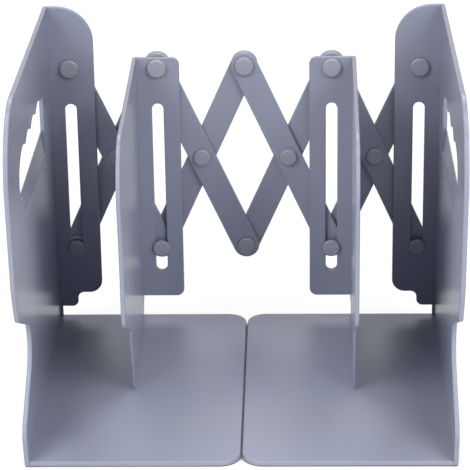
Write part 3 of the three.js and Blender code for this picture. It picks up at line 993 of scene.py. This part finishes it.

# %% [markdown]
# ## Floor
# The photograph shows the bookend on pure white. The floor is a white matt plane. For camera and
# mirror rays most of its white is its own, so it stays white, and the rest is real light, so the
# object's soft shadow still shows. The seam between the base plates is dark in the photograph, so
# the floor's own white fades where it is closed in, by what Ambient Occlusion finds within a few
# millimetres. That dark seam is painted shade, not a shadow cast by the lamps.

# %% White floor
FLOOR_REACH = 4.0
MIRRORED = 0.6                     # how bright the white room is in the plastic's reflections
# Painted shade in the seam: where the openness falls towards SEAM_DARK, the floor's own white is
# taken away
SEAM_DARK, SEAM_SLOPE = 0.28, 3.6  # openness at which the floor turns dark, and how fast it pales
SEAM_REACH = 8 * MM
REAL_WHITE, OWN_WHITE = 0.25, 0.84     # the parts of its white that are real light and its own
FLOOR_DROP = 0.2 * MM              # below the base plates, so that the surfaces don't meet
floor_points = np.array([(-1, -1), (1, -1), (1, 1), (-1, 1)]) * FLOOR_REACH
floor_points = np.column_stack([floor_points, np.full(4, -FLOOR_DROP)])
floor = new_object("floor", floor_points, [(0, 1, 2, 3)])
white_floor = bpy.data.materials.new("white floor")
white = Finish(white_floor)
seen = white.maths("MAXIMUM", white.ray("Camera"), white.ray("Glossy"))
seen = white.maths("MAXIMUM", seen, white.ray("Transmission"))
matt = white.node("ShaderNodeBsdfDiffuse", None, {"Color": (0.8, 0.8, 0.8, 1)})
dim = white.node("ShaderNodeBsdfDiffuse", None, {"Color": (REAL_WHITE, REAL_WHITE, REAL_WHITE, 1)})
# Painted shade: the floor's own white is dimmed where Ambient Occlusion finds it closed in, so the
# seam between the base plates turns dark
openness = white.node(
    "ShaderNodeAmbientOcclusion", {"samples": 8}, {"Distance": SEAM_REACH}, result="AO")
lit = white.maths("MAXIMUM", (openness - SEAM_DARK) * SEAM_SLOPE, 0)
paled = white.maths("MINIMUM", lit, 1) * (1 - white.ray("Glossy") * (1 - MIRRORED))
glow = white.node(
    "ShaderNodeEmission", None, {"Color": (1, 1, 1, 1), "Strength": paled * OWN_WHITE})
own = white.node("ShaderNodeAddShader", None, {0: dim, 1: glow})
surface = white.node("ShaderNodeMixShader", None, {0: seen, 1: matt, 2: own})
white.node("ShaderNodeOutputMaterial", None, {"Surface": surface})
floor.data.materials.append(white_floor)
print("floor:", 2 * FLOOR_REACH, "m square")

# %% [markdown]
# ## Studio light
# Product shots of this kind are lit by softboxes and white walls all round. On each side a key
# lamp stands at 40 degrees, a low one lights the panels' inner faces, and a high one over the
# side lights the base plates. One more behind gives the upper edges their rim of light. The
# powers are the mix that came nearest to the photograph.

# %% White room
ROOM_LIGHT = 0.1                   # what the walls send onto the object
room = bpy.data.worlds.new("white room")
bpy.context.scene.world = room
air = Finish(room)
seen = air.maths("MAXIMUM", air.ray("Camera"), air.ray("Transmission"))
strength = air.maths("MAXIMUM", seen, air.ray("Glossy") * MIRRORED)
strength = air.maths("MAXIMUM", strength, ROOM_LIGHT)
sky = air.node("ShaderNodeBackground", None, {"Color": (1, 1, 1, 1), "Strength": strength})
air.node("ShaderNodeOutputWorld", None, {"Surface": sky})
print("room:", room.name)

# %% Lamps
LAMP_DISTANCE = 1.6
AIM = Vector((0, 0, 60 * MM))


def softbox(name, around, up, width, height, power):
    """A rectangular lamp on a sphere round the object, this many degrees to the right of the
    front and up from the horizon, turned towards the object's middle."""
    turn, rise = math.radians(around), math.radians(up)
    away = Vector((
        math.cos(rise) * math.sin(turn), -math.cos(rise) * math.cos(turn), math.sin(rise)))
    data = bpy.data.lights.new(name, "AREA")
    data.shape, data.size, data.size_y, data.energy = "RECTANGLE", width, height, power
    lamp = add_object(name, data)
    facing_in = away.to_track_quat("Z", "Y").to_matrix().to_4x4()
    lamp.matrix_world = Matrix.Translation(AIM + away * LAMP_DISTANCE) @ facing_in
    return lamp


# Name, degrees round and up, width and height in metres, and power in watts
PAIRS = (("key", 42, 40, 0.8, 0.6, 9), ("low", 33, 10, 0.7, 0.6, 5.3),
         ("top", 100, 72, 0.7, 0.5, 5.5))
for kind, around, *rest in PAIRS:
    softbox(f"{kind}_left", -around, *rest)
    softbox(f"{kind}_right", around, *rest)
softbox("rear", 180, 40, 0.8, 0.6, 5)

# %% [markdown]
# ## Camera
# The photograph looks down on the bookend from about 23 degrees with a long lens, from 1.1 metres.
# A camera could be placed by eye, but then no edge would fall where the photograph has it. These
# numbers come from matching the base plates' corners, the panels' creases and the flanges' edges
# to their places in the picture.

# %% Camera
PHOTO_SIDE = 470
FOCAL_PIXELS = 2347.61
PITCH_DOWN, YAW, ROLL = math.radians(22.758), math.radians(-1.6543), math.radians(-0.8790)
STAND = (0.0259187, -1.096914, 0.506580)    # right of the middle, from the back plane, and up
SENSOR = 36                        # width in millimetres
lens = bpy.data.cameras.new("camera")
lens.sensor_width = SENSOR
lens.lens = FOCAL_PIXELS * SENSOR / PHOTO_SIDE
lens.clip_start, lens.clip_end = 0.05, 20
camera = add_object("camera", lens)
bpy.context.scene.camera = camera
gaze = Vector((
    math.sin(YAW) * math.cos(PITCH_DOWN), math.cos(YAW) * math.cos(PITCH_DOWN),
    -math.sin(PITCH_DOWN)))
level = Vector((math.cos(YAW), -math.sin(YAW), 0))
above = level.cross(gaze)
to_right = level * math.cos(ROLL) + above * math.sin(ROLL)
to_top = above * math.cos(ROLL) - level * math.sin(ROLL)
facing_matrix = Matrix((to_right, to_top, -gaze)).transposed().to_4x4()
stand = Vector((STAND[0], BACK_Y + STAND[1], STAND[2]))
camera.matrix_world = Matrix.Translation(stand) @ facing_matrix
bpy.context.scene.view_settings.view_transform = "Standard"
print("lens in mm:", round(lens.lens, 1))
